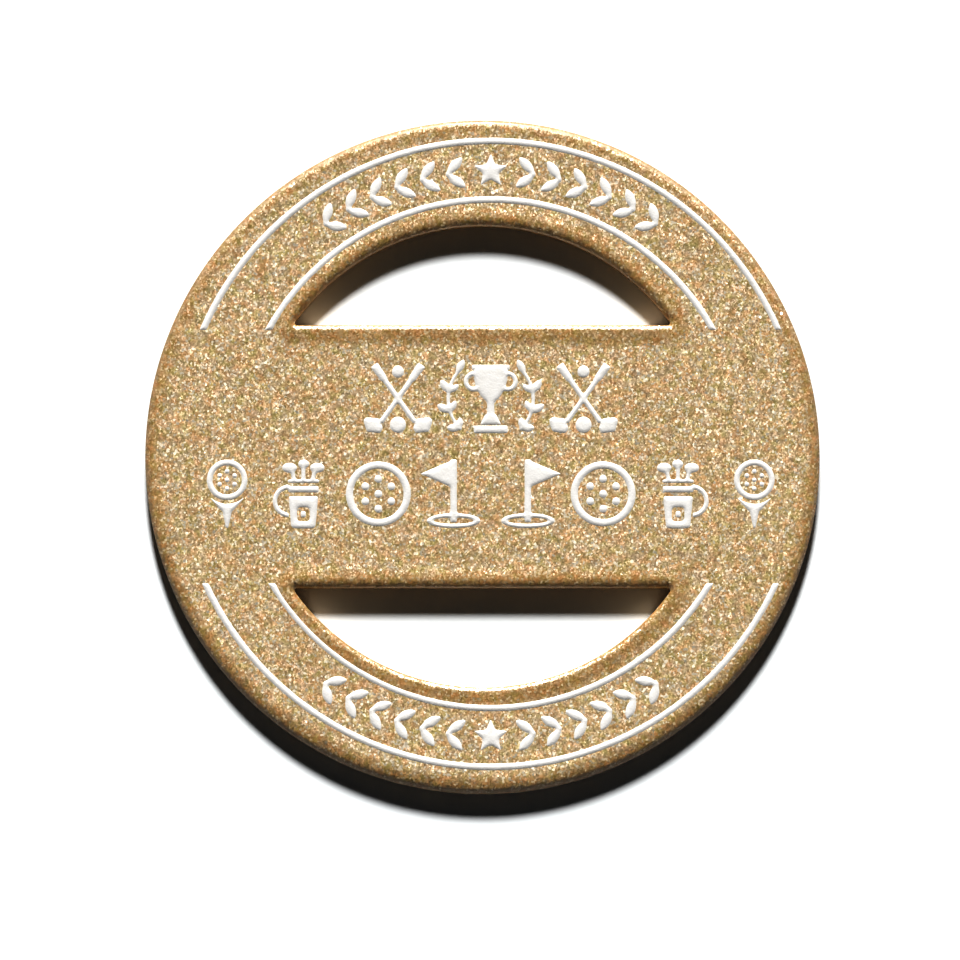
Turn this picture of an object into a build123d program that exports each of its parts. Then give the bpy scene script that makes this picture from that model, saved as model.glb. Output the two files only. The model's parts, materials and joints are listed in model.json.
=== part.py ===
from build123d import *
import math
import os

# Ball marker: a flat round disc that marks a golf ball's place on the green.
# A steel blank with two D-shaped windows is powder coated all over, and raised
# white ink is printed on the upper face: two pairs of arc lines, a laurel band
# between the lines of each pair, and two rows of golf pictograms on the bar.
# Millimetres. +Z is up, out of the printed face. +Y is the top of the artwork.
# The origin is the centre of the underside.

# ---- driving dimensions -------------------------------------------------
disc_d = 40.0            # finished diameter, coating included
disc_t = 1.4             # finished thickness, coating included, print left out
coat_t = 0.10            # powder coating, all over
bevel_w, bevel_h = 0.45, 0.20    # finished bevel of the windows' upper edges: how far in, how far down
rim_w, rim_h = 0.70, 0.28        # and of the disc's upper edge
edge_r = 0.20            # finished rounding of every lower edge

bar_half = 7.8           # the cross bar reaches from -bar_half to +bar_half in Y
window_r = 13.7          # finished radius of the windows' curved side
corner_r = 0.15          # finished radius in the windows' sharp corners

ink_t = 0.08             # relief of the printed ink
print_x, print_y = 0.49, 0.18   # how far the artwork lies off the disc's centre

outer_line_r = 18.58     # middle of the outer arc line, about the artwork's centre
inner_line_r = 15.09     # middle of the inner arc line
line_w = 0.42            # width of the arc lines
line_end_y = 7.5         # arc lines are cut off level, this far from the disc's centre

band_r = 16.78           # middle of the laurel band
leaf_pairs = 6           # pairs of leaves on each side of the star
leaf_first = 6.9         # degrees from the star to the first pair
leaf_pitch = 5.4         # degrees from one pair to the next
leaf_len, leaf_w = 1.36, 0.60
leaf_tilt = 40.0         # degrees between a leaf and the band's direction
band_star_r = 1.08

row_1_y, row_1_h = 3.23, 4.1     # first row: middle above the artwork's centre, height
row_2_y, row_2_h = -2.40, 4.1    # second row
row_1_x = 5.50                   # the crossed clubs' distance from the row's middle
row_2_x = (2.20, 6.66, 11.10, 15.62)   # the second row's marks, from the middle out
stroke = 0.46                    # common weight of the strokes

# ---- the disc -----------------------------------------------------------


def window(inset, sign):
    """One D-shaped opening, between the bar's edge and a circle about the centre."""
    r, edge, corner = window_r + inset, bar_half - inset, corner_r + inset
    half = Circle(r) & Pos(0, edge + r) * Rectangle(4 * r, 2 * r)
    half = fillet(half.vertices(), corner)
    return half if sign > 0 else half.mirror(Plane.XZ)


def plate(inset):
    """The disc's outer form, moved inwards everywhere by inset."""
    outline = Circle(disc_d / 2 - inset) - window(inset, 1) - window(inset, -1)
    solid = Pos(0, 0, inset) * extrude(outline, disc_t - 2 * inset)
    for wide, high, outer in ((rim_w, rim_h, True), (bevel_w, bevel_h, False)):
        slope = math.atan2(high, wide)
        high += inset * (1 / math.cos(slope) - math.tan(slope) - 1)
        upper = solid.faces().sort_by(Axis.Z)[-1]
        rim = upper.outer_wire().edges()
        edges = rim if outer else [e for w in upper.inner_wires() for e in w.edges()]
        solid = chamfer(edges, high / math.tan(slope), high, reference=upper)
    lower = solid.faces().sort_by(Axis.Z)[0]
    return fillet(lower.edges(), edge_r - inset)


blank = plate(coat_t)
skin = plate(0.0) - blank

# ---- marks, each as a flat outline about its own middle ------------------


def poly(*points):
    return make_face(Polyline(*points, close=True))


def bar(x0, y0, x1, y1, w0, w1=None):
    """A straight stroke from one point to another, square at both ends."""
    w1 = w0 if w1 is None else w1
    a = math.atan2(y1 - y0, x1 - x0)
    nx, ny = -math.sin(a), math.cos(a)
    return poly(
        (x0 + nx * w0 / 2, y0 + ny * w0 / 2),
        (x0 - nx * w0 / 2, y0 - ny * w0 / 2),
        (x1 - nx * w1 / 2, y1 - ny * w1 / 2),
        (x1 + nx * w1 / 2, y1 + ny * w1 / 2),
    )


def star(r, waist=0.47):
    points = []
    for i in range(10):
        rr = r if i % 2 == 0 else r * waist
        a = math.radians(90 + 36 * i)
        points.append((rr * math.cos(a), rr * math.sin(a)))
    return poly(*points)


def leaf(length, width):
    """A pointed leaf that grows along +X from the origin."""
    top = ThreePointArc((0, 0), (length * 0.46, width / 2), (length, 0))
    low = ThreePointArc((length, 0), (length * 0.46, -width / 2), (0, 0))
    return make_face([top, low])


def leaf_pair():
    """Two leaves that open towards +X, joined at a node of the stem."""
    x0 = -0.58
    one = Pos(x0, 0.04) * Rot(0, 0, leaf_tilt) * leaf(leaf_len, leaf_w)
    two = Pos(x0, -0.04) * Rot(0, 0, -leaf_tilt) * leaf(leaf_len, leaf_w)
    return one + two + Pos(x0 + 0.10, 0) * Circle(0.20)


def ring(r, w):
    return Circle(r) - Circle(r - w)


def ball(r, w, dot):
    """A ball seen from the side: its outline, and raised dots for the dimples."""
    marks = [ring(r, w), Circle(dot)]
    for i in range(6):
        a = math.radians(30 + 60 * i)
        q = (r - w) * 0.60
        marks.append(Pos(q * math.cos(a), q * math.sin(a)) * Circle(dot))
    return marks


def flag(h):
    """A flagstick in its hole on the green, the pennant towards +X."""
    low, top = -h / 2, h / 2
    stick = Pos(0, (top + low + 0.35) / 2) * Rectangle(0.42, top - low - 0.35)
    pennant = poly((0.0, top), (2.02, top - 0.86), (0.0, top - 1.72))
    hole = Pos(0, low + 0.46) * (Ellipse(1.62, 0.46) - Ellipse(1.20, 0.17))
    return [stick + pennant + hole]


def ball_on_tee(h):
    r = 1.22
    y = h / 2 - 2 * r
    marks = [Pos(0, h / 2 - r) * m for m in ball(r, 0.36, 0.17)]
    cup = poly((-1.05, y + 0.16), (1.05, y + 0.16), (0.36, y - 0.62), (-0.36, y - 0.62))
    cup -= Pos(0, h / 2 - r) * Circle(r + 0.19)
    peg = bar(0, y - 0.55, 0, -h / 2, 0.62, 0.16)
    return marks + [cup + peg]


def crossed_clubs(h):
    """Two irons across each other, heads down, a ball between the heads and one above."""
    t = h / 2

    def one():
        shaft = bar(1.40, t - 0.05, -1.02, -t + 0.66, 0.34, 0.32)
        grip = bar(1.43, t, 0.80, t - 0.89, 0.54, 0.46)
        head = poly((-0.86, -t + 0.34), (-1.04, -t), (-1.86, -t + 0.10), (-2.08, -t + 0.80),
                    (-1.90, -t + 0.98), (-1.14, -t + 0.92))
        return shaft + grip + fillet(head.vertices(), 0.11)

    return [one() + flip(one()), Pos(0, -t + 0.52) * Circle(0.50), Pos(0, t - 0.42) * Circle(0.38)]


def bag(h):
    """A golf bag with three clubs standing in it, the strap towards +X."""
    t = h / 2
    body = poly((-0.94, t - 1.58), (0.94, t - 1.58), (0.74, -t + 0.12), (0.60, -t),
                (-0.60, -t), (-0.74, -t + 0.12))
    body -= Pos(0, t - 2.08) * Rectangle(4, 0.20)
    body -= Pos(0, -t + 0.84) * RectangleRounded(0.72, 0.80, 0.14)
    body += Pos(0, -t + 0.84) * RectangleRounded(0.34, 0.42, 0.08)
    strap = Pos(0.78, -0.42) * (Ellipse(1.06, 1.00) - Ellipse(0.76, 0.70))
    body += strap & (Pos(2.84, -0.42) * Rectangle(4, 4))
    clubs = bar(-0.52, t - 1.36, -0.68, t - 0.62, 0.26) + Pos(-0.82, t - 0.50) * Ellipse(0.46, 0.31)
    clubs += bar(0.0, t - 1.36, 0.0, t - 0.30, 0.26) + Pos(-0.02, t - 0.27) * Ellipse(0.36, 0.27)
    clubs += bar(0.52, t - 1.36, 0.68, t - 0.62, 0.26) + Pos(0.82, t - 0.50) * Ellipse(0.46, 0.31)
    clubs += Pos(0, t - 1.30) * Rectangle(1.90, 0.22)
    return [body, clubs]


def trophy(h):
    """A two-handled cup on a foot, with a leafy sprig on each side."""
    t = h / 2
    cup = Pos(0, t - 0.17) * Rectangle(2.30, 0.34)
    cup += make_face([
        Line((-0.98, t - 0.30), (0.98, t - 0.30)),
        ThreePointArc((0.98, t - 0.30), (0.75, t - 1.62), (0.16, t - 2.30)),
        Line((0.16, t - 2.30), (-0.16, t - 2.30)),
        ThreePointArc((-0.16, t - 2.30), (-0.75, t - 1.62), (-0.98, t - 0.30)),
    ])
    handle = Ellipse(0.62, 0.62) - Ellipse(0.33, 0.33)
    cup += Pos(1.00, t - 1.00) * handle + Pos(-1.00, t - 1.00) * handle
    cup += Pos(0, t - 2.60) * Rectangle(0.46, 0.80)
    cup += poly((-0.34, -t + 1.16), (0.34, -t + 1.16), (0.66, -t + 0.50), (-0.66, -t + 0.50))
    cup += Pos(0, -t + 0.24) * Rectangle(2.04, 0.48)
    marks = [cup]
    r = 2.52
    sprig = ring(r + 0.11, 0.22)
    sprig &= make_face(Polyline((0, 0), (6 * math.cos(math.radians(-47)), 6 * math.sin(math.radians(-47))),
                                (6, 0), (6 * math.cos(math.radians(40)), 6 * math.sin(math.radians(40))),
                                close=True))
    for a, s in ((-44, 0.86), (-18, 0.98), (9, 0.96)):
        c = math.radians(a)
        base = Pos(r * math.cos(c), r * math.sin(c))
        sprig += base * Rot(0, 0, a + 48) * leaf(0.96 * s, 0.50)
        sprig += base * Rot(0, 0, a + 134) * leaf(0.82 * s, 0.40)
    c = math.radians(36)
    sprig += Pos(r * math.cos(c), r * math.sin(c)) * Rot(0, 0, 118) * leaf(1.02, 0.48)
    return marks + [sprig, flip(sprig)]


def flip(face):
    return face.mirror(Plane.YZ)


def pair(marks, x, y):
    """A mark on each side of the row's middle, the left one mirrored."""
    return [Pos(x, y) * m for m in marks] + [Pos(-x, y) * flip(m) for m in marks]


def ink(faces):
    """The outlines, moved to the artwork's place on the upper face and given the ink's relief."""
    solids = []
    for f in faces:
        solids += list(extrude(Pos(print_x, print_y, disc_t) * f, ink_t).solids())
    return Compound(label="ink", children=solids)


def arc_line(r, sign):
    keep = line_end_y - sign * print_y      # the cut is level with the disc, not the artwork
    cut = Pos(0, sign * (keep + r)) * Rectangle(4 * r, 2 * r)
    return ring(r + line_w / 2, line_w) & cut


def laurel_band(sign):
    """A star in the middle, and pairs of leaves that grow towards it from both sides."""
    mid = 90.0 * sign
    at = Pos(band_r * math.cos(math.radians(mid)), band_r * math.sin(math.radians(mid)))
    faces = [at * star(band_star_r)]
    for side in (1, -1):
        for i in range(leaf_pairs):
            a = mid + side * (leaf_first + leaf_pitch * i)
            at = Pos(band_r * math.cos(math.radians(a)), band_r * math.sin(math.radians(a)))
            faces.append(at * Rot(0, 0, a - 90.0 * side) * leaf_pair())
    return faces


parts = {
    "steel_blank": blank,
    "powder_coat": skin,
    "upper_outer_arc_line": ink([arc_line(outer_line_r, 1)]),
    "upper_inner_arc_line": ink([arc_line(inner_line_r, 1)]),
    "lower_outer_arc_line": ink([arc_line(outer_line_r, -1)]),
    "lower_inner_arc_line": ink([arc_line(inner_line_r, -1)]),
    "upper_laurel_band": ink(laurel_band(1)),
    "lower_laurel_band": ink(laurel_band(-1)),
    "trophy_mark": ink([Pos(0, row_1_y) * m for m in trophy(row_1_h)]),
    "crossed_club_marks": ink(pair(crossed_clubs(row_1_h), row_1_x, row_1_y)),
    "flag_marks": ink(pair(flag(row_2_h), row_2_x[0], row_2_y)),
    "ball_marks": ink(pair(ball(1.94, stroke, 0.26), row_2_x[1], row_2_y)),
    "golf_bag_marks": ink(pair(bag(row_2_h), row_2_x[2], row_2_y)),
    "tee_marks": ink(pair(ball_on_tee(row_2_h), row_2_x[3], row_2_y)),
}

os.makedirs("parts", exist_ok=True)
for name, shape in parts.items():
    export_step(shape, f"parts/{name}.step")
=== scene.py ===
import json
import math

import bpy
import numpy as np
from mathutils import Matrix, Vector, noise
from mathutils.geometry import delaunay_2d_cdt


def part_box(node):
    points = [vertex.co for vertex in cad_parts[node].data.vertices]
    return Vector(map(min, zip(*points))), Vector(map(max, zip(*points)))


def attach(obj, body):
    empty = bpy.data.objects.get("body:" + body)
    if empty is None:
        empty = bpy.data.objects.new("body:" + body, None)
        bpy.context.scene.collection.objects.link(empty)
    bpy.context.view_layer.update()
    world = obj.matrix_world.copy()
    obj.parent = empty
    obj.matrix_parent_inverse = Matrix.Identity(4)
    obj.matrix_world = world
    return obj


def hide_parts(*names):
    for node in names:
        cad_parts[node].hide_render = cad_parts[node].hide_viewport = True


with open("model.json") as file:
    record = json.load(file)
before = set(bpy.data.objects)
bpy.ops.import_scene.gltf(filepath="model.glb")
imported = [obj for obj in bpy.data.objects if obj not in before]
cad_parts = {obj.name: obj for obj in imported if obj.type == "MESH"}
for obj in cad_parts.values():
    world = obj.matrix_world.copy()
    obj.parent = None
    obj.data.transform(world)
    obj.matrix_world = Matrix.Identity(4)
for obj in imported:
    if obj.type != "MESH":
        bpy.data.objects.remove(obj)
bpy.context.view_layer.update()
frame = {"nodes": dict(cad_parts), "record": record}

MM = 0.001
scene = bpy.context.scene

# ---------------------------------------------------------------- sizes, read from the frame
coat_lo, coat_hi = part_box("powder_coat")
blank_lo, blank_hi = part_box("steel_blank")
DISC_R = min(-coat_lo[0], coat_hi[0], -coat_lo[1], coat_hi[1]) / MM
DISC_T = coat_hi[2] / MM
COAT_T = (coat_hi[2] - blank_hi[2]) / MM
INK_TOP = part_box("trophy_mark")[1][2] / MM

pts = np.array([p.co for p in frame["nodes"]["powder_coat"].data.vertices]) / MM
mid = abs(pts[:, 2] - DISC_T / 2)
far_out, low = np.hypot(pts[:, 0], pts[:, 1]) > 0.9 * DISC_R, pts[:, 2] < DISC_T / 2
RIM_R = DISC_T / 2 - float(mid[far_out & low].min())      # rounding of the disc's lower edge
EDGE_R = DISC_T / 2 - float(mid[~far_out & low].min())    # rounding of the windows' lower edges
wall = pts[(mid < mid[~far_out].min() + 0.005) & ~far_out]
WINDOW_R = float(np.hypot(wall[:, 0], wall[:, 1]).max()) - COAT_T   # the windows' curved side
BAR_HALF = float(abs(wall[:, 1]).min()) + COAT_T          # the windows' straight side
CORNER_R = 0.15

# upper edges: arcs from the wall to the face, as (radius, tilt of the surface at its start, at its end) in degrees
CUT_EDGE = ((0.05, 90, 58), (0.50, 58, 40), (0.70, 40, 0))
RIM_EDGE = ((0.05, 90, 65), (0.76, 65, 43), (0.59, 43, 18), (1.85, 18, 0))
SAG_WINDOW, SAG_RIM = 0.45, 0.52   # edges facing +Y are smaller than those facing -Y by this share

# the coating builds up a little beside a cut edge: how high, and how far in it has gone
LIP_WINDOW, LIP_RIM = 0.052, 0.012
REACH_WINDOW, REACH_RIM = 1.35, 1.40


# ---------------------------------------------------------------- mesh helpers
def new_object(name, verts_mm, faces, smooth=True):
    mesh = bpy.data.meshes.new(name)
    mesh.from_pydata((np.asarray(verts_mm) * MM).tolist(), [], faces)
    mesh.validate()
    mesh.update()
    if smooth:
        mesh.polygons.foreach_set("use_smooth", [True] * len(mesh.polygons))
    ob = bpy.data.objects.new(name, mesh)
    scene.collection.objects.link(ob)
    return ob


def weld(ob, dist_mm=0.0002):
    import bmesh
    bm = bmesh.new()
    bm.from_mesh(ob.data)
    bmesh.ops.remove_doubles(bm, verts=bm.verts, dist=dist_mm * MM)
    bmesh.ops.recalc_face_normals(bm, faces=bm.faces)
    open_edges = sum(1 for e in bm.edges if len(e.link_faces) != 2)
    bm.to_mesh(ob.data)
    bm.free()
    ob.data.update()
    return open_edges


def fill(points, loops, inside):
    """Triangles over 2D points, with the loops (lists of point numbers) as edges; inside(centroids) picks the faces kept."""
    edges = [(loop[i], loop[(i + 1) % len(loop)]) for loop in loops for i in range(len(loop))]
    out, _, faces, orig, _, _ = delaunay_2d_cdt([Vector(p) for p in points], edges, [], 0, 1e-6, True)
    first = [o[0] if o else -1 for o in orig]
    if min(first) < 0 or len(out) != len(points):
        raise RuntimeError(f"the fill made or lost points: {len(points)} in, {len(out)} out")
    tris = np.array([[first[i] for i in f] for f in faces])
    xy = np.asarray(points)[tris].mean(1)
    return tris[inside(xy)]


def relief(x, y, z):
    """Slow waviness of the cured coating, from -1 to 1, at a point in millimetres."""
    p = Vector((x, y, z))
    return 0.62 * noise.noise(p * 1.35) + 0.38 * noise.noise(p * 3.1 + Vector((7.3, 1.9, 4.1)))


# ---------------------------------------------------------------- outlines of the disc
def circle_loop(r, n):
    a = np.arange(n) / n * 2 * math.pi
    p = np.stack([r * np.cos(a), r * np.sin(a)], 1)
    return p, -p / r                                       # points, and the way into the material


def window_loop(sign, w, b, c, step):
    """The D-shaped opening's outline: straight side at y = b, curved side of radius w, corners of radius c."""
    xc = math.sqrt((w - c) ** 2 - (b + c) ** 2)
    beta = math.atan2(b + c, xc)
    p, m = [], []

    def arc(cx, cy, r, a0, a1, n):
        for i in range(n):
            a = a0 + (a1 - a0) * i / n
            p.append((cx + r * math.cos(a), cy + r * math.sin(a)))
            m.append((math.cos(a), math.sin(a)))

    n = int(2 * xc / step)
    for i in range(n):
        p.append((-xc + 2 * xc * i / n, b))
        m.append((0.0, -1.0))
    arc(xc, b + c, c, -math.pi / 2, beta, 9)
    arc(0, 0, w, beta, math.pi - beta, int(w * (math.pi - 2 * beta) / step))
    arc(-xc, b + c, c, math.pi - beta, 1.5 * math.pi, 9)
    p, m = np.array(p), np.array(m)
    if sign < 0:
        p, m = p[::-1] * (1, -1), m[::-1] * (1, -1)
    return p, m


def in_window(xy, grow=0.0):
    """True where a point is inside either opening, made larger by grow."""
    y = abs(xy[:, 1])
    return (np.hypot(xy[:, 0], xy[:, 1]) < WINDOW_R + grow) & (y > BAR_HALF - grow)


def hex_grid(step, seed, r):
    rng = np.random.default_rng(seed)
    rows = int(2 * r / (step * 0.866)) + 2
    cols = int(2 * r / step) + 2
    j, i = np.mgrid[0:rows, 0:cols]
    x = (i + 0.5 * (j % 2)) * step - r
    y = j * step * 0.866 - r
    g = np.stack([x.ravel(), y.ravel()], 1)
    return g + rng.uniform(-0.16, 0.16, g.shape) * step


def profile(arcs, per_degree=0.16):
    """Points along the arcs, from the wall up: distance in, height, and the surface normal's parts in and up."""
    rows, s, z = [], 0.0, 0.0
    for i, (r, a0, a1) in enumerate(arcs):
        n = max(3, int(round(abs(a0 - a1) * per_degree)))
        for k in range(0 if i == 0 else 1, n + 1):
            a = math.radians(a0 + (a1 - a0) * k / n)
            b = math.radians(a0)
            rows.append((s + r * (math.sin(b) - math.sin(a)), z + r * (math.cos(a) - math.cos(b)),
                         -math.sin(a), math.cos(a)))
        s, z = rows[-1][:2]
    return rows


def plate_mesh(step, wavy, segments, seed):
    """The disc's whole surface: walls, rounded edges, raised lips beside them, and both faces."""
    top, bottom = DISC_T, 0.0
    loops = [(circle_loop(DISC_R, int(2 * math.pi * DISC_R / step)), RIM_R, RIM_EDGE, LIP_RIM, REACH_RIM, SAG_RIM)]
    for sign in (1, -1):
        loops.append((window_loop(sign, WINDOW_R, BAR_HALF, CORNER_R, step), EDGE_R, CUT_EDGE, LIP_WINDOW, REACH_WINDOW,
                      SAG_WINDOW))
    verts, faces = [], []
    rings = {"top": [], "bottom": []}
    base = 0
    for (p, m), r_edge, arcs, lip, far, sag in loops:
        give = 1 - sag * (1 - m[:, 1]) / 2                 # size of the upper rounding at each point of the outline
        rows = []                                          # (distance in, height, normal in, normal up)
        for k in (1.0, 0.55, 0.2):
            rows.append((r_edge + (far - r_edge) * k, bottom, 0.0, -1.0))
        for i in range(segments + 1):
            a = math.pi / 2 * (1 - i / segments)
            rows.append((r_edge * (1 - math.cos(a)), bottom + r_edge * (1 - math.sin(a)), -math.cos(a), -math.sin(a)))
        up = profile(arcs)
        wide, high = up[-1][:2]
        wide, eaves = wide * give, top + lip - high * give     # where the rounding ends, and where the wall meets it
        for i in range(1, 4):
            rows.append((0.0, bottom + r_edge + i / 4 * (eaves - bottom - r_edge), -1.0, 0.0))
        rows += [(d * give, eaves + h * give, a, b) for d, h, a, b in up]
        for t in (0.10, 0.24, 0.40, 0.56, 0.74, 1.0):
            rows.append((wide + (far - wide) * t, top + lip * 0.5 * (1 + math.cos(math.pi * t)), 0.0, 1.0))
        n = len(p)
        for s, z, nin, nup in rows:
            s, z = np.broadcast_to(s, n), np.broadcast_to(z, n)
            xy = p + m * s[:, None]
            for k in range(n):
                x, y = xy[k]
                d = 0.0
                if wavy:
                    d = wavy * (relief(x, y, z[k]) - (0.0 if nup > 0.99 else 1.0 - 0.98 * max(0.0, nup)))
                verts.append((x + m[k][0] * nin * d, y + m[k][1] * nin * d, z[k] + nup * d))
        for j in range(len(rows) - 1):
            for k in range(n):
                a, b = base + j * n + k, base + j * n + (k + 1) % n
                faces.append((a, b, b + n, a + n))
        rings["bottom"].append(list(range(base, base + n)))
        rings["top"].append(list(range(base + (len(rows) - 1) * n, base + len(rows) * n)))
        base += len(rows) * n
    verts = np.array(verts)
    for side in ("top", "bottom"):
        nup = 1.0 if side == "top" else -1.0
        z = top if side == "top" else bottom
        ring_ids = [i for ring in rings[side] for i in ring]
        reach = math.hypot(*verts[rings[side][0][0]][:2])
        grid = hex_grid(step * (1.0 if side == "top" else 1.7), seed, DISC_R)
        clear = 0.62 * step
        grid = grid[(np.hypot(grid[:, 0], grid[:, 1]) < reach - clear)]
        ring_xy = verts[ring_ids][:, :2]
        grid = grid[~in_window(grid, REACH_WINDOW + clear)]
        local, start, pieces = [], 0, []
        for ring in rings[side]:
            local.append(list(range(start, start + len(ring))))
            start += len(ring)
        points = np.concatenate([ring_xy, grid])
        outer_r = reach

        def inside(c):
            # the rings' own outlines: the outer one is a circle, the windows' are the grown openings
            ok = np.hypot(c[:, 0], c[:, 1]) < outer_r
            for ring in local[1:]:
                poly = points[ring]
                ok &= ~in_polygon(c, poly)
            return ok

        tris = fill(points, local, inside)
        more = []
        for x, y in grid:
            d = wavy * (relief(x, y, z) - (0.0 if nup > 0 else 1.0)) if wavy else 0.0
            more.append((x, y, z + nup * d))
        first_new = len(verts)
        lookup = np.array(ring_ids + list(range(first_new, first_new + len(more))))
        verts = np.concatenate([verts, np.array(more)])
        faces += [tuple(int(i) for i in lookup[t]) for t in tris]
    return verts, faces


def in_polygon(c, poly):
    """Which of the points c lie inside a closed outline."""
    x, y = c[:, 0], c[:, 1]
    hit = np.zeros(len(c), bool)
    n = len(poly)
    for i in range(n):
        x0, y0 = poly[i]
        x1, y1 = poly[(i + 1) % n]
        if y0 == y1:
            continue
        cross = ((y0 > y) != (y1 > y)) & (x < (x1 - x0) * (y - y0) / (y1 - y0) + x0)
        hit ^= cross
    return hit


# ---------------------------------------------------------------- the coating
verts, faces = plate_mesh(0.30, 0.0022, 6, 11)
coat = new_object("coat_skin", verts, faces)
print("coat open edges", weld(coat), "faces", len(coat.data.polygons))


# ---------------------------------------------------------------- the print
def outlines(ob):
    """Closed outlines of a flat node's upper faces, in millimetres: outer ones anticlockwise, holes clockwise."""
    me = ob.data
    co = np.array([v.co for v in me.vertices]) / MM
    top = co[:, 2].max()
    key = {}
    ids = np.empty(len(co), int)
    for i, c in enumerate(co):
        ids[i] = key.setdefault((round(c[0], 4), round(c[1], 4)), len(key))
    place = np.zeros((len(key), 2))
    place[ids] = co[:, :2]
    nxt = {}
    used = {}
    for poly in me.polygons:
        vs = list(poly.vertices)
        if min(co[vs][:, 2]) < top - 0.01 or poly.normal.z < 0.5:
            continue
        q = [ids[i] for i in vs]
        for a, b in zip(q, q[1:] + q[:1]):
            used[(a, b)] = used.get((a, b), 0) + 1
    for (a, b) in used:
        if (b, a) not in used:
            nxt.setdefault(a, []).append(b)
    loops = []
    while nxt:
        start = next(iter(nxt))
        loop = [start]
        cur = nxt[start].pop()
        if not nxt[start]:
            del nxt[start]
        while cur != start:
            loop.append(cur)
            following = nxt[cur].pop()
            if not nxt[cur]:
                del nxt[cur]
            cur = following
        loops.append(place[loop])
    return loops


def area(p):
    x, y = p[:, 0], p[:, 1]
    return 0.5 * float(np.sum(x * np.roll(y, -1) - y * np.roll(x, -1)))


def smooth_outline(p, step):
    """The faceted outline redrawn at even spacing: curves run smooth, real corners stay but are eased as ink eases them."""
    keep = [i for i in range(len(p)) if np.linalg.norm(p[i] - p[i - 1]) > 1e-3]
    p = p[keep]
    n = len(p)
    before, after = p - np.roll(p, 1, 0), np.roll(p, -1, 0) - p
    la, lb = np.linalg.norm(before, axis=1), np.linalg.norm(after, axis=1)
    turn = np.abs(np.degrees(np.arctan2(before[:, 0] * after[:, 1] - before[:, 1] * after[:, 0],
                                        (before * after).sum(1))))
    corner = turn > 44
    tangent = before + after
    tangent /= np.maximum(np.linalg.norm(tangent, axis=1), 1e-9)[:, None]
    out = []
    for i in range(n):
        j = (i + 1) % n
        length = lb[i]
        k = max(1, int(round(length / step)))
        straight = after[i] / length
        t0 = straight if corner[i] else tangent[i]
        t1 = straight if corner[j] else tangent[j]
        for q in range(k):
            t = q / k
            h00, h10 = 2 * t**3 - 3 * t**2 + 1, t**3 - 2 * t**2 + t
            h01, h11 = -2 * t**3 + 3 * t**2, t**3 - t**2
            out.append(h00 * p[i] + h10 * length * t0 + h01 * p[j] + h11 * length * t1)
    out = np.array(out)
    # even spacing along the line
    seg = np.linalg.norm(np.roll(out, -1, 0) - out, axis=1)
    total = seg.sum()
    m = max(12, int(round(total / step)))
    along = np.concatenate([[0], np.cumsum(seg)])
    closed = np.concatenate([out, out[:1]])
    at = np.arange(m) / m * total
    out = np.stack([np.interp(at, along, closed[:, 0]), np.interp(at, along, closed[:, 1])], 1)
    for _ in range(2):                                     # ease the corners
        out = 0.5 * out + 0.25 * (np.roll(out, 1, 0) + np.roll(out, -1, 0))
    return out


def inward(p):
    """Unit normals to the left of the outline's direction, which is into the ink for outer outlines and holes alike."""
    d = np.roll(p, -1, 0) - np.roll(p, 1, 0)
    d /= np.maximum(np.linalg.norm(d, axis=1), 1e-12)[:, None]
    return np.stack([-d[:, 1], d[:, 0]], 1)


def distance_to(points, line):
    """Distance from each point to a closed outline."""
    a, b = line, np.roll(line, -1, 0)
    ab = b - a
    ll = np.maximum((ab**2).sum(1), 1e-12)
    best = np.full(len(points), 1e9)
    for s in range(0, len(points), 400):
        q = points[s:s + 400][:, None, :] - a[None]
        t = np.clip((q * ab[None]).sum(2) / ll[None], 0, 1)
        d = q - t[..., None] * ab[None]
        best[s:s + 400] = np.sqrt((d**2).sum(2)).min(1)
    return best


def ink_height(d, edge=0.24):
    """The print's height at a distance d from its outline, as a share of its full relief: a soft shoulder, then nearly flat."""
    t = np.clip(d / edge, 0, 1)
    shoulder = 1 - (1 - t) ** 1.9
    return shoulder * (0.93 + 0.07 * np.clip((d - 0.5 * edge) / 0.35, 0, 1))


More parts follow.
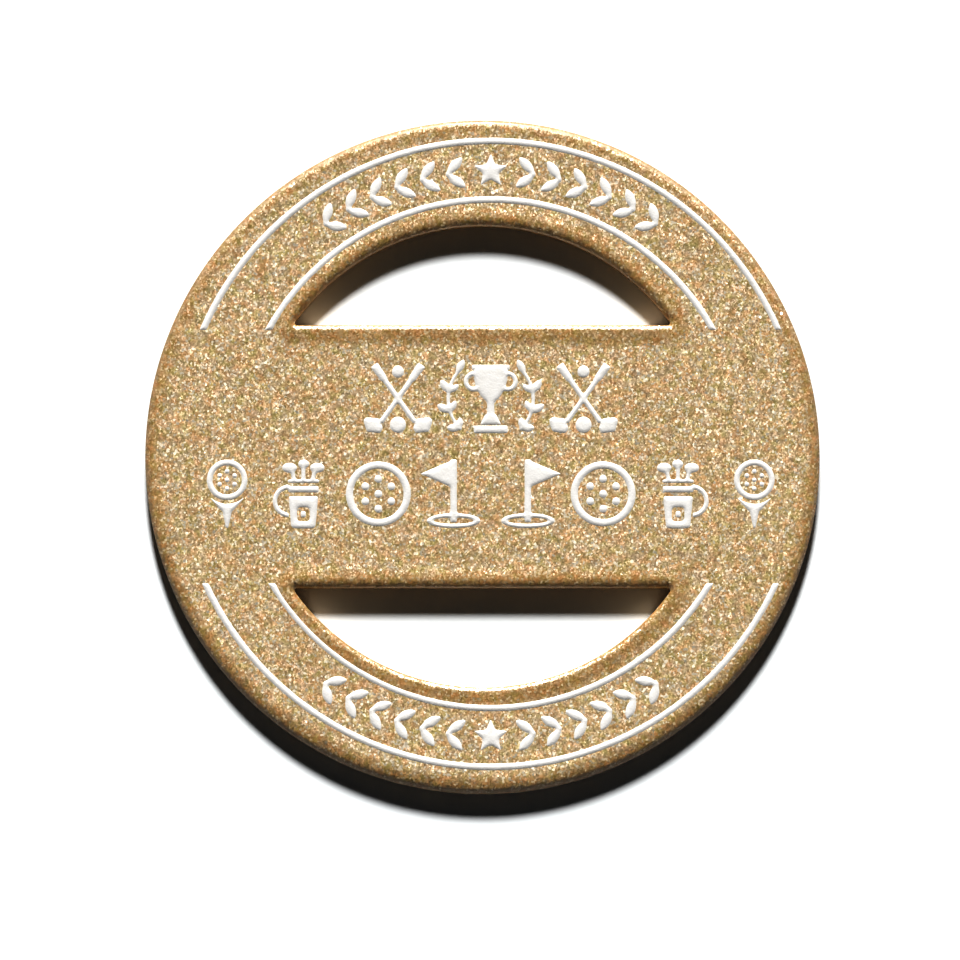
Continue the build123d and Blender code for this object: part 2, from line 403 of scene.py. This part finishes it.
def ink_mesh(node):
    """Domed islands of ink over each outline of a printed node."""
    base = DISC_T - 0.012                                  # its foot is in the coating, which is wavy
    rise = INK_TOP - base - 0.004
    step = 0.075
    loops = [smooth_outline(p, step) for p in outlines(frame["nodes"][node])]
    outer = [p for p in loops if area(p) > 0]
    holes = [p for p in loops if area(p) < 0]
    verts, faces = [], []
    for shell in outer:
        group = [shell] + [h for h in holes if in_polygon(h[:1], shell)[0]]
        jagged = []
        for p in group:
            nrm = inward(p)
            w = np.array([noise.noise(Vector((x * 3.1, y * 3.1, 5.5))) + 0.6 * noise.noise(Vector((x * 9, y * 9, 1.5)))
                          for x, y in p])
            jagged.append(p - nrm * (0.008 + 0.010 * w)[:, None])
        group = jagged
        points, ids = [], []
        for p in group:
            ids.append(list(range(len(points), len(points) + len(p))))
            points += p.tolist()
        cand, need = [], []
        for p in group:
            nrm = inward(p)
            for d, every in ((0.012, 1), (0.032, 1), (0.062, 1), (0.10, 1), (0.145, 1), (0.20, 2), (0.30, 3)):
                cand.append((p + nrm * d)[::every])
                need.append(np.full(len(cand[-1]), d))
        lo, hi = shell.min(0), shell.max(0)
        g = 0.13
        gx, gy = np.meshgrid(np.arange(lo[0], hi[0], g), np.arange(lo[1], hi[1], g))
        grid = np.stack([gx.ravel(), gy.ravel()], 1)
        cand.append(grid)
        need.append(np.full(len(grid), 0.36))
        cand, need = np.concatenate(cand), np.concatenate(need)
        inside = in_polygon(cand, group[0])
        for h in group[1:]:
            inside &= ~in_polygon(cand, h)
        cand, need = cand[inside], need[inside]
        dist = np.full(len(cand), 1e9)
        for p in group:
            dist = np.minimum(dist, distance_to(cand, p))
        ok = dist > need * 0.97 - 0.0008
        cand, dist = cand[ok], dist[ok]
        cells, chosen = set(), []                          # thin out points that crowd each other
        for i in range(len(cand)):
            c = (int(cand[i][0] / 0.03), int(cand[i][1] / 0.03), int(dist[i] / 0.018))
            if c not in cells:
                cells.add(c)
                chosen.append(i)
        cand, dist = cand[chosen], dist[chosen]
        all_points = np.concatenate([np.array(points), cand])
        all_dist = np.concatenate([np.zeros(len(points)), dist])

        def kept(c):
            ok = in_polygon(c, group[0])
            for h in group[1:]:
                ok &= ~in_polygon(c, h)
            return ok

        tris = fill(all_points, ids, kept)
        height = ink_height(all_dist)
        wave = np.array([0.5 * noise.noise(Vector((x * 2.3, y * 2.3, 2.2))) + 0.5 * noise.noise(Vector((x * 6.1, y * 6.1, 8.8)))
                         for x, y in all_points])
        z = base + rise * height * (1.0 - 0.035 + 0.035 * wave)
        n0 = len(verts)
        verts += np.column_stack([all_points, z]).tolist()
        faces += [tuple(int(i) + n0 for i in t) for t in tris]
        # a foot below the outline, and a flat underside
        foot = {}
        for loop in ids:
            for i in loop:
                foot[i] = len(verts)
                verts.append([all_points[i][0], all_points[i][1], base - 0.035])
            for k in range(len(loop)):
                a, b = loop[k], loop[(k + 1) % len(loop)]
                faces.append((a + n0, foot[a], foot[b], b + n0))
        edge_points = np.array(points)
        under = fill(edge_points, ids, kept)
        faces += [tuple(foot[int(i)] for i in t[::-1]) for t in under]
    ob = new_object(node + "_ink", verts, faces)
    print(node, "islands", len(outer), "open edges", weld(ob), "faces", len(ob.data.polygons))
    return ob


def mark_edges(ob):
    """Store how far each point of the coating lies from the rim and from the nearer window, in millimetres."""
    co = np.empty(len(ob.data.vertices) * 3)
    ob.data.vertices.foreach_get("co", co)
    xy = co.reshape(-1, 3)[:, :2] / MM
    gap = np.full(len(xy), 9.0)
    for sign in (1, -1):
        gap = np.minimum(gap, distance_to(xy, window_loop(sign, WINDOW_R, BAR_HALF, CORNER_R, 0.30)[0]))
    for name, d in (("from_rim", DISC_R - np.hypot(xy[:, 0], xy[:, 1])), ("from_window", gap)):
        layer = ob.data.attributes.new(name, "FLOAT", "POINT")
        layer.data.foreach_set("value", np.clip(d, 0.0, 9.0).astype(np.float32))


mark_edges(coat)
INK_NODES = [n["node"] for n in frame["record"]["subparts"] if n["material_slot"] == "white_ink"]
ink_objects = {node: ink_mesh(node) for node in INK_NODES}


# ---------------------------------------------------------------- shader helpers
class Nodes:
    """A short way to write a material's nodes: each call adds one and returns its output."""

    def __init__(self, name, slot_name=None):
        self.mat = bpy.data.materials.new(name)
        self.mat.use_nodes = True
        self.tree = self.mat.node_tree
        self.tree.nodes.clear()
        self.out = self.tree.nodes.new("ShaderNodeOutputMaterial")
        self.where = self.tree.nodes.new("ShaderNodeTexCoord").outputs["Object"]

    def put(self, socket, value):
        if isinstance(value, bpy.types.NodeSocket):
            self.tree.links.new(value, socket)
        elif value is not None:
            socket.default_value = value

    def math(self, op, a, b=None, clamp=False):
        n = self.tree.nodes.new("ShaderNodeMath")
        n.operation, n.use_clamp = op, clamp
        self.put(n.inputs[0], a)
        self.put(n.inputs[1], b)
        return n.outputs[0]

    def vmath(self, op, a, b=None, scale=None):
        n = self.tree.nodes.new("ShaderNodeVectorMath")
        n.operation = op
        self.put(n.inputs[0], a)
        self.put(n.inputs[1], b)
        if scale is not None:
            self.put(n.inputs["Scale"], scale)
        return n.outputs["Value"] if op in ("LENGTH", "DOT_PRODUCT", "DISTANCE") else n.outputs[0]

    def noise(self, size_mm, detail=2.0, rough=0.5, shift=0.0, distortion=0.0, where=None):
        n = self.tree.nodes.new("ShaderNodeTexNoise")
        self.put(n.inputs["Vector"], self.vmath("ADD", where or self.where, (shift, shift * 0.7, -shift)))
        n.inputs["Scale"].default_value = 1.0 / (size_mm * MM)
        n.inputs["Detail"].default_value = detail
        n.inputs["Roughness"].default_value = rough
        n.inputs["Distortion"].default_value = distortion
        return n.outputs

    def cells(self, size_mm, shift=0.0, feature="F1", randomness=1.0, where=None):
        n = self.tree.nodes.new("ShaderNodeTexVoronoi")
        n.feature = feature
        self.put(n.inputs["Vector"], self.vmath("ADD", where or self.where, (shift, -shift, shift * 0.6)))
        n.inputs["Scale"].default_value = 1.0 / (size_mm * MM)
        n.inputs["Randomness"].default_value = randomness
        return n.outputs

    def spread(self, x, lo, hi, to_lo=0.0, to_hi=1.0, smooth=False):
        n = self.tree.nodes.new("ShaderNodeMapRange")
        n.interpolation_type = "SMOOTHSTEP" if smooth else "LINEAR"
        self.put(n.inputs["Value"], x)
        for name, v in (("From Min", lo), ("From Max", hi), ("To Min", to_lo), ("To Max", to_hi)):
            self.put(n.inputs[name], v)
        return n.outputs[0]

    def split(self, color):
        n = self.tree.nodes.new("ShaderNodeSeparateColor")
        self.put(n.inputs[0], color)
        return n.outputs

    def ramp(self, x, stops, mode="LINEAR"):
        n = self.tree.nodes.new("ShaderNodeValToRGB")
        n.color_ramp.interpolation = mode
        el = n.color_ramp.elements
        while len(el) < len(stops):
            el.new(0.5)
        for e, (at, c) in zip(el, stops):
            e.position, e.color = at, (*c, 1.0)
        self.put(n.inputs[0], x)
        return n.outputs[0]

    def mix(self, amount, a, b, mode="MIX"):
        n = self.tree.nodes.new("ShaderNodeMix")
        n.data_type, n.blend_type = "RGBA", mode
        self.put(n.inputs[0], amount)
        self.put(n.inputs[6], a)
        self.put(n.inputs[7], b)
        return n.outputs[2]

    def stored(self, name):
        n = self.tree.nodes.new("ShaderNodeAttribute")
        n.attribute_type, n.attribute_name = "GEOMETRY", name
        return n.outputs["Fac"]

    def bump(self, height, depth_mm, strength=1.0, normal=None):
        n = self.tree.nodes.new("ShaderNodeBump")
        n.inputs["Strength"].default_value = strength
        n.inputs["Distance"].default_value = depth_mm * MM
        self.put(n.inputs["Height"], height)
        self.put(n.inputs["Normal"], normal)
        return n.outputs[0]

    def shader(self, **values):
        n = self.tree.nodes.new("ShaderNodeBsdfPrincipled")
        for name, v in values.items():
            self.put(n.inputs[name.replace("_", " ")], v)
        self.tree.links.new(n.outputs[0], self.out.inputs[0])
        return self.mat


def rgb(r, g, b):
    return (r, g, b, 1.0)


# ---------------------------------------------------------------- gold flake powder coat
def gold_coat_material():
    m = Nodes("gold_flake_powder_coat")
    fine = m.cells(FLAKES[0], 0.0)                         # small flakes, and the larger ones among them
    broad = m.cells(FLAKES[1], 0.013)
    drift = m.noise(1.1, 3.0, 0.55, 0.02)                  # the powder's own unevenness
    blotch = m.noise(0.46, 2.0, 0.5, 0.05)

    big = m.cells(0.125, 0.031)
    g = m.split(big["Color"])
    bare = m.math("GREATER_THAN", g["Red"], 1 - BARE_SHARE)    # now and then a big flake lies bare at the surface; its pale colour is partly a painted glint

    # beside the edges the film flowed out thicker and smoother, and its flakes lie flat
    wander = m.spread(m.noise(0.8, 2.0, 0.5, 0.06)["Fac"], 0.25, 0.75, -WANDER, WANDER)
    at_window = m.spread(m.math("ADD", m.stored("from_window"), wander), *FLOW_WINDOW, 1.0, 0.0, True)
    at_rim = m.spread(m.math("ADD", m.stored("from_rim"), wander), *FLOW_RIM, 1.0, 0.0, True)
    flow = m.math("MAXIMUM", at_window, at_rim)

    # each flake lies at its own small tilt
    def tilt(color, amount):
        v = m.vmath("SUBTRACT", color, (0.5, 0.5, 0.5))
        return m.vmath("SCALE", v, scale=2 * amount)

    peel = m.bump(m.noise(0.22, 2.0, 0.6, 0.03)["Fac"], 0.006)
    lean = m.vmath("ADD", tilt(fine["Color"], FLAKE_TILT[0]), tilt(broad["Color"], FLAKE_TILT[1]))
    own = m.tree.nodes.new("ShaderNodeCombineXYZ")         # a direction of its own for each bare flake
    for socket, value in zip(own.inputs, (g["Green"], g["Blue"], g["Green"])):
        m.put(socket, value)
    lean = m.mix(bare, lean, tilt(own.outputs[0], BARE_TILT))
    lean = m.vmath("SCALE", lean, scale=m.spread(flow, 0.0, 1.0, 1.0, FLOW_TILT))
    normal = m.vmath("NORMALIZE", m.vmath("ADD", peel, lean))

    a, b = m.split(fine["Color"]), m.split(broad["Color"])
    hue = m.math("ADD", m.math("MULTIPLY", a["Red"], 0.10), m.math("MULTIPLY", b["Green"], 0.15))
    hue = m.math("ADD", hue, m.spread(blotch["Fac"], 0.34, 0.66, 0.0, 0.75))
    color = m.ramp(hue, RESIN)                             # the tinted powder, paler in patches
    faded = m.noise(0.60, 2.0, 0.5, 0.08)
    color = m.mix(m.spread(faded["Fac"], 0.42, 0.68, 0.0, 0.75), color, rgb(*PALE))
    light = m.spread(drift["Fac"], 0.3, 0.7, 0.90, 1.10)
    light = m.math("MULTIPLY", light, m.spread(a["Blue"], 0.0, 1.0, VALUE[0], VALUE[1]))
    color = m.mix(1.0, color, light, "MULTIPLY")
    # the bare flakes are painted pale, partly their own colour and partly a painted glint, so they show as bright
    # flecks under any light
    color = m.mix(m.math("MULTIPLY", bare, 0.8), color, rgb(*BARE_PALE_AND_GLINT))
    rough = m.spread(a["Green"], 0.0, 1.0, ROUGH[0], ROUGH[1])
    rough = m.math("SUBTRACT", rough, m.math("MULTIPLY", bare, 0.10))
    rough = m.math("SUBTRACT", rough, m.math("MULTIPLY", flow, FLOW_GLOSS))
    color = m.mix(flow, color, m.mix(1.0, color, rgb(*FLOW_TINT), "MULTIPLY"))
    rim_dull_and_shade = m.spread(m.stored("from_rim"), 0.10, 0.40, 1.0, 0.0, True)     # the rim's steep part is rougher, and darker in colour as painted shade
    rough = m.math("ADD", rough, m.math("MULTIPLY", rim_dull_and_shade, RIM_DULL))
    # painted shade: the rim's steep part is darkened in colour to dim the lit floor it reflects
    color = m.mix(rim_dull_and_shade, color, m.mix(1.0, color, rgb(*RIM_PAINTED_SHADE), "MULTIPLY"))
    return m.shader(Base_Color=color, Metallic=0.06, Roughness=rough, Normal=normal,
                    IOR=2.0, Specular_IOR_Level=1.0, Specular_Tint=rgb(1.0, 0.97, 0.92),
                    Coat_Weight=0.25, Coat_Roughness=0.22, Coat_IOR=1.5)


FLAKES = (0.085, 0.155)
FLAKE_TILT = (0.165, 0.10)
BARE_TILT = 0.24
RESIN = ((0.0, (0.58, 0.49, 0.20)), (0.3, (0.63, 0.48, 0.215)), (0.55, (0.66, 0.465, 0.235)),
         (0.8, (0.74, 0.465, 0.21)), (1.0, (0.75, 0.48, 0.30)))
PALE = (0.675, 0.535, 0.375)
VALUE = (0.92, 1.08)
BARE_SHARE = 0.15
BARE_PALE_AND_GLINT = (1.0, 0.92, 0.765)
WANDER = 0.16
FLOW_WINDOW, FLOW_RIM = (0.65, 1.45), (0.35, 1.10)
FLOW_TILT, FLOW_GLOSS = 0.80, 0.03
FLOW_TINT = (0.87, 0.77, 0.61)
ROUGH = (0.34, 0.44)
# the rim's extra roughness, and the colour of its painted shade
RIM_DULL, RIM_PAINTED_SHADE = 0.30, (0.76, 0.73, 0.68)


# ---------------------------------------------------------------- raised white ink
def white_ink_material():
    m = Nodes("raised_white_ink")
    grain = m.noise(0.085, 2.0, 0.55, 0.01)
    lay = m.noise(0.55, 2.0, 0.5, 0.04)
    dots = m.cells(0.11, 0.02, "SMOOTH_F1")
    color = m.mix(m.spread(lay["Fac"], 0.3, 0.7), rgb(0.85, 0.83, 0.80), rgb(0.89, 0.875, 0.855))
    color = m.mix(m.spread(grain["Fac"], 0.35, 0.8, 0.0, 0.5), color, rgb(0.84, 0.83, 0.825))
    height = m.math("ADD", m.math("MULTIPLY", grain["Fac"], 0.7), m.math("MULTIPLY", dots["Distance"], 0.5))
    normal = m.bump(height, 0.012, 1.0)
    normal = m.bump(lay["Fac"], 0.02, 1.0, normal)
    rough = m.spread(grain["Fac"], 0.3, 0.7, 0.38, 0.52)
    return m.shader(Base_Color=color, Roughness=rough, Normal=normal, IOR=1.5)


# ---------------------------------------------------------------- the blank's cold-rolled steel, under the coating
def steel_material():
    m = Nodes("cold_rolled_steel")
    grained = m.vmath("MULTIPLY", m.where, (0.06, 1.0, 1.0))
    streak = m.noise(0.05, 3.0, 0.6, 0.0, where=grained)
    pits = m.cells(0.25, 0.01)
    cloud = m.noise(4.0, 3.0, 0.5, 0.03)
    color = m.mix(streak["Fac"], rgb(0.42, 0.41, 0.40), rgb(0.60, 0.59, 0.575))
    color = m.mix(m.spread(cloud["Fac"], 0.4, 0.7, 0.0, 0.35), color, rgb(0.36, 0.34, 0.32))
    height = m.math("ADD", streak["Fac"], m.spread(pits["Distance"], 0.0, 0.25, -0.5, 0.0))
    return m.shader(Base_Color=color, Metallic=1.0, Roughness=m.spread(streak["Fac"], 0.2, 0.8, 0.28, 0.5),
                    Normal=m.bump(height, 0.004), Anisotropic=0.4)


# ---------------------------------------------------------------- pieces take their finish and their body
def dress(ob, mat):
    ob.data.materials.clear()
    ob.data.materials.append(mat)


gold, ink, steel = gold_coat_material(), white_ink_material(), steel_material()
dress(coat, gold)
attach(coat, "root")
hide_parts("powder_coat")
for node, ob in ink_objects.items():
    dress(ob, ink)
    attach(ob, "root")
    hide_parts(node)
dress(frame["nodes"]["steel_blank"], steel)


# ---------------------------------------------------------------- floor with a low cove round it, light, camera
def cove(flat_r=1.1, rise=0.16, rings=14, around=96):
    """A pale studio floor that turns up in a low curve all round, far from the object. Metres."""
    verts, faces = [(0.0, 0.0, 0.0)], []
    radii = [(flat_r * k / 8, 0.0) for k in range(1, 9)]
    radii += [(flat_r + rise * math.sin(t), rise * (1 - math.cos(t)))
              for t in (math.pi / 2 * k / rings for k in range(1, rings + 1))]
    for r, z in radii:
        verts += [(r * math.cos(2 * math.pi * k / around), r * math.sin(2 * math.pi * k / around), z)
                  for k in range(around)]
    faces += [(0, 1 + k, 1 + (k + 1) % around) for k in range(around)]
    for j in range(len(radii) - 1):
        for k in range(around):
            a, b = 1 + j * around + k, 1 + j * around + (k + 1) % around
            faces.append((a, a + around, b + around, b))
    return new_object("studio_floor", np.array(verts) / MM, faces)


FLOOR_BOUNCE = (0.55, 0.55, 0.56)


def floor_material():
    m = Nodes("pale_studio_board")
    tooth = m.noise(0.9, 3.0, 0.6)
    color = m.mix(tooth["Fac"], rgb(0.915, 0.945, 0.965), rgb(0.935, 0.962, 0.98))
    seen = m.tree.nodes.new("ShaderNodeLightPath").outputs["Is Camera Ray"]
    color = m.mix(seen, rgb(*FLOOR_BOUNCE), color)         # how much light the board throws back at the object
    return m.shader(Base_Color=color, Roughness=0.9, Specular_IOR_Level=0.2, Normal=m.bump(tooth["Fac"], 0.01))


floor = cove()
dress(floor, floor_material())

sun = bpy.data.lights.new("key", "SUN")
sun.energy = 6.12
sun.angle = math.radians(10)
KEY_UP = 35.5
sun.color = (1.0, 0.992, 0.975)
key = bpy.data.objects.new("key", sun)
key.rotation_euler = (-math.radians(90 - KEY_UP), 0, 0)    # from +Y
scene.collection.objects.link(key)

world = bpy.data.worlds.new("studio")
world.use_nodes = True
world.node_tree.nodes["Background"].inputs[0].default_value = rgb(0.80, 0.90, 1.0)
world.node_tree.nodes["Background"].inputs[1].default_value = 0.019
scene.world = world

tilt = math.radians(3.0)
stand_off = 0.6
look_at = Vector((-0.145 * MM, -1.393 * MM / math.cos(tilt), DISC_T * MM))
cam = bpy.data.cameras.new("camera")
cam.sensor_width = 36.0
cam.lens = 36.0 * stand_off / (960 / 16.875 * MM)
cam.clip_start, cam.clip_end = 0.05, 20.0
camera = bpy.data.objects.new("camera", cam)
camera.location = look_at + Vector((0, -math.sin(tilt), math.cos(tilt))) * stand_off
camera.rotation_euler = (tilt, 0, 0)
scene.collection.objects.link(camera)
scene.camera = camera

scene.view_settings.view_transform = "Standard"
scene.view_settings.look = "None"
scene.view_settings.exposure = 0.0
scene.view_settings.gamma = 0.667

bpy.context.view_layer.update()
